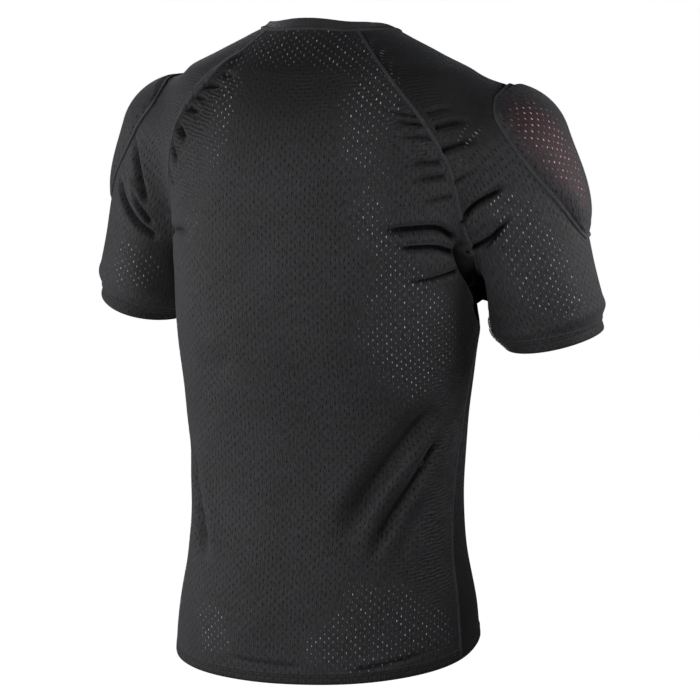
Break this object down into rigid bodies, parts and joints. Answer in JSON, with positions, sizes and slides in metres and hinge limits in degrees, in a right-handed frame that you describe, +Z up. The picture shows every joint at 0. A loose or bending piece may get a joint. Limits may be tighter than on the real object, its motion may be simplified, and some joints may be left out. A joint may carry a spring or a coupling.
{
  "type": "padded compression shirt",
  "caption": "Short-sleeved compression shirt in dark mesh knit with raglan sleeves, padded shoulders under sewn covers and a round neck band, filled out as worn.",
  "frame": {"origin": "middle of the neck at shoulder height, where the wearer carries the shirt", "axes": "+Z up, -Y to the front, +X to the wearer's left"},
  "size_m": [0.5662, 0.2318, 0.6777],
  "materials": {
    "mesh_cloth": "matt knitted mesh",
    "band_cloth": "matt rib",
    "pad_foam": "matt foam"
  },
  "bodies": {
    "root": {"back_panel": "mesh_cloth", "front_panel": "mesh_cloth", "sleeve_left": "mesh_cloth", "sleeve_right": "mesh_cloth", "shoulder_pad_left": "pad_foam", "shoulder_pad_right": "pad_foam", "pad_cover_left": "mesh_cloth", "pad_cover_right": "mesh_cloth", "neck_band": "band_cloth"}
  },
  "joints": []
}
